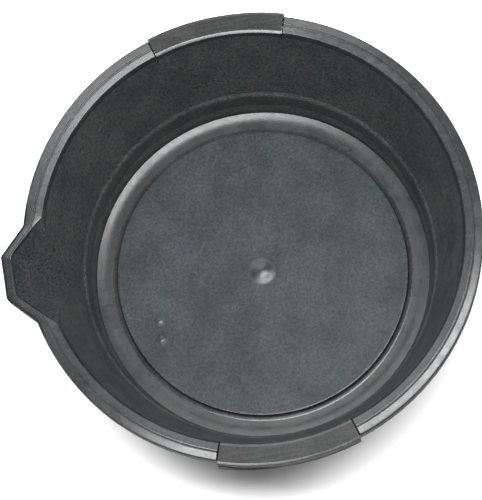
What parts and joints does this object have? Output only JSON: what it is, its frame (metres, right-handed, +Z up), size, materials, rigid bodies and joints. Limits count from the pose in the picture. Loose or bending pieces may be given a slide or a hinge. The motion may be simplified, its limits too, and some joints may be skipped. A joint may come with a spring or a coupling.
{
  "type": "oil drain pan",
  "caption": "Round open catch pan with a raised floor in a foot channel, flared wall, rolled rim, opposed hand grips and a pour spout.",
  "frame": {"origin": "on the ground plane under the middle of the overall footprint, spout included", "axes": "+Z up out of the pan's mouth; the pour spout points along -X; the two hand grips lie at +Y and -Y"},
  "size_m": [0.4396, 0.4292, 0.16],
  "materials": {
    "floor_plastic": "charcoal polyethylene, fine satin with faint flow marks and scuffs",
    "smooth_plastic": "charcoal polyethylene, smooth semi-gloss",
    "grained_plastic": "charcoal polyethylene, fine moulded grain",
    "grip_plastic": "charcoal polyethylene, matte grain with faint machining lines"
  },
  "bodies": {
    "root": {"floor_panel": "floor_plastic", "foot_channel": "smooth_plastic", "lower_wall": "grained_plastic", "upper_wall": "grained_plastic", "rim_right": "smooth_plastic", "rim_left_rear": "smooth_plastic", "rim_left_front": "smooth_plastic", "grip_rear": "grip_plastic", "grip_front": "grip_plastic", "pour_spout": "smooth_plastic"}
  },
  "joints": []
}
